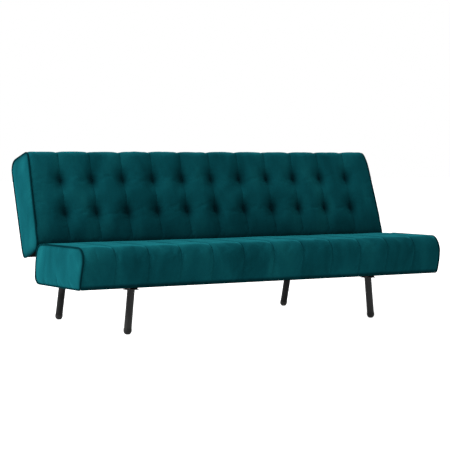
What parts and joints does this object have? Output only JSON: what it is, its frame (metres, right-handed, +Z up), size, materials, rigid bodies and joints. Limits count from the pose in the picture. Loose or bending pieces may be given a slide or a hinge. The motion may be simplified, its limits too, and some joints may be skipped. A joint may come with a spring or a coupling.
{
  "type": "click-clack sofa bed",
  "caption": "Armless sofa bed with a channelled velvet seat, a button-tufted velvet back that folds flat on click-clack hinges, and splayed black tube legs.",
  "frame": {"origin": "on the floor, under the middle of the whole sofa in its upright position", "axes": "+X along the sofa's length, +Y from the seat's front edge towards the back, +Z up"},
  "size_m": [1.9, 0.8897, 0.787],
  "materials": {
    "velvet": "matte",
    "foam": "matte",
    "pine": "matte",
    "plywood": "matte",
    "black_steel": "satin",
    "zinc_steel": "satin",
    "black_plastic": "matte",
    "dust_cloth": "matte"
  },
  "bodies": {
    "base": {"bearer_left": "black_steel", "bearer_right": "black_steel", "foot_cap_front_left": "black_plastic", "foot_cap_front_right": "black_plastic", "foot_cap_rear_left": "black_plastic", "foot_cap_rear_right": "black_plastic", "hinge_pin_left": "zinc_steel", "hinge_pin_right": "zinc_steel", "hinge_seat_arm_left": "zinc_steel", "hinge_seat_arm_right": "zinc_steel", "leg_front_left": "black_steel", "leg_front_right": "black_steel", "leg_plate_front_left": "black_steel", "leg_plate_front_right": "black_steel", "leg_plate_rear_left": "black_steel", "leg_plate_rear_right": "black_steel", "leg_rear_left": "black_steel", "leg_rear_right": "black_steel", "seat_cover": "velvet", "seat_deck": "plywood", "seat_dust_cover": "dust_cloth", "seat_foam": "foam", "seat_rail_front": "pine", "seat_rail_left": "pine", "seat_rail_middle": "pine", "seat_rail_rear": "pine", "seat_rail_right": "pine"},
    "backrest": {"back_button_lower_01": "velvet", "back_button_lower_02": "velvet", "back_button_lower_03": "velvet", "back_button_lower_04": "velvet", "back_button_lower_05": "velvet", "back_button_lower_06": "velvet", "back_button_lower_07": "velvet", "back_button_lower_08": "velvet", "back_button_lower_09": "velvet", "back_button_lower_10": "velvet", "back_button_lower_11": "velvet", "back_button_upper_01": "velvet", "back_button_upper_02": "velvet", "back_button_upper_03": "velvet", "back_button_upper_04": "velvet", "back_button_upper_05": "velvet", "back_button_upper_06": "velvet", "back_button_upper_07": "velvet", "back_button_upper_08": "velvet", "back_button_upper_09": "velvet", "back_button_upper_10": "velvet", "back_button_upper_11": "velvet", "back_cover": "velvet", "back_dust_cover": "dust_cloth", "back_foam": "foam", "back_rail_bottom": "pine", "back_rail_top": "pine", "back_stile_left": "pine", "back_stile_right": "pine", "hinge_back_arm_left": "zinc_steel", "hinge_back_arm_right": "zinc_steel", "hinge_pawl_left": "zinc_steel", "hinge_pawl_right": "zinc_steel"}
  },
  "joints": [
    {"name": "back_recline", "type": "hinge", "parent": "base", "child": "backrest", "pos_m": [0, 0.02032, 0.358], "axis": [-1, 0, 0], "range_deg": [-10, 72]}
  ]
}
